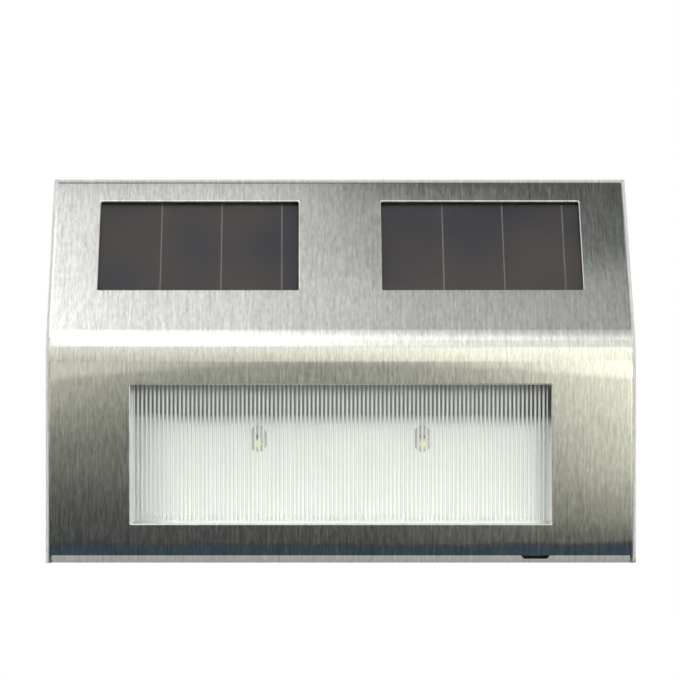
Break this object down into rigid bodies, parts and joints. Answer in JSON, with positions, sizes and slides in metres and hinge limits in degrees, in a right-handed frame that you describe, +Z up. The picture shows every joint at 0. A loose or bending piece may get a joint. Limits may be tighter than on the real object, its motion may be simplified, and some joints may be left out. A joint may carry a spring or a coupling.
{
  "type": "solar fence light",
  "caption": "Wall-mounted solar fence light: folded brushed steel cover with sloped solar windows above a ribbed clear lens, on a plastic back plate with keyholes.",
  "frame": {"origin": "middle of the back plate's wall face", "axes": "+Z up, +Y out of the back towards the wall, so the light looks along -Y; +X to the right as seen from the front"},
  "size_m": [0.17, 0.045, 0.112],
  "materials": {
    "brushed_steel": "brushed up and down, clear edges",
    "black_abs": "fine spark texture",
    "white_abs": "moulded, satin",
    "reflector_white": "smooth moulded white",
    "foam": "closed-cell foam tape",
    "clear_acrylic": "clear, polished",
    "panel_glass": "clear float glass",
    "solar_film": "dark brown thin film",
    "panel_backing": "printed backing",
    "cell_sleeve": "shrink sleeve",
    "plated_metal": "nickel plated",
    "zinc_steel": "zinc plated",
    "circuit_laminate": "solder mask",
    "black_epoxy": "moulded epoxy",
    "ferrite": "ferrite with copper winding",
    "capacitor_sleeve": "shrink sleeve",
    "resistor_body": "lacquer",
    "switch_knob": "moulded",
    "wire_insulation": "vinyl",
    "led_epoxy": "clear epoxy",
    "phosphor": "yellow phosphor"
  },
  "bodies": {
    "housing": {"back_gasket": "foam", "back_plate": "black_abs", "back_screws": "zinc_steel", "battery_can": "cell_sleeve", "battery_cap": "plated_metal", "battery_negative_contact": "plated_metal", "battery_positive_contact": "plated_metal", "battery_wires": "wire_insulation", "board_screws": "zinc_steel", "capacitor": "capacitor_sleeve", "circuit_board": "circuit_laminate", "controller_chip": "black_epoxy", "inductor": "ferrite", "inner_frame": "white_abs", "led_board": "circuit_laminate", "led_leads_left": "plated_metal", "led_leads_right": "plated_metal", "led_lens_left": "led_epoxy", "led_lens_right": "led_epoxy", "led_phosphor_left": "phosphor", "led_phosphor_right": "phosphor", "led_wires": "wire_insulation", "lens_gasket": "foam", "reflector": "reflector_white", "reflector_screws": "zinc_steel", "resistors": "resistor_body", "ribbed_lens": "clear_acrylic", "solar_backing_left": "panel_backing", "solar_backing_right": "panel_backing", "solar_cells_left": "solar_film", "solar_cells_right": "solar_film", "solar_gasket_left": "foam", "solar_gasket_right": "foam", "solar_glass_left": "panel_glass", "solar_glass_right": "panel_glass", "solar_wires_left": "wire_insulation", "solar_wires_right": "wire_insulation", "steel_cover": "brushed_steel", "switch_body": "plated_metal", "switch_pins": "plated_metal"},
    "battery_door": {"battery_door": "black_abs"},
    "switch_slider": {"switch_slider": "switch_knob"}
  },
  "joints": [
    {"name": "battery_door_hinge", "type": "hinge", "parent": "housing", "child": "battery_door", "pos_m": [0, -0.0009, -0.0364], "axis": [-1, 0, 0], "range_deg": [0, 80]},
    {"name": "switch_slide", "type": "slide", "parent": "housing", "child": "switch_slider", "axis": [1, 0, 0], "range_m": [0, 0.002]}
  ]
}
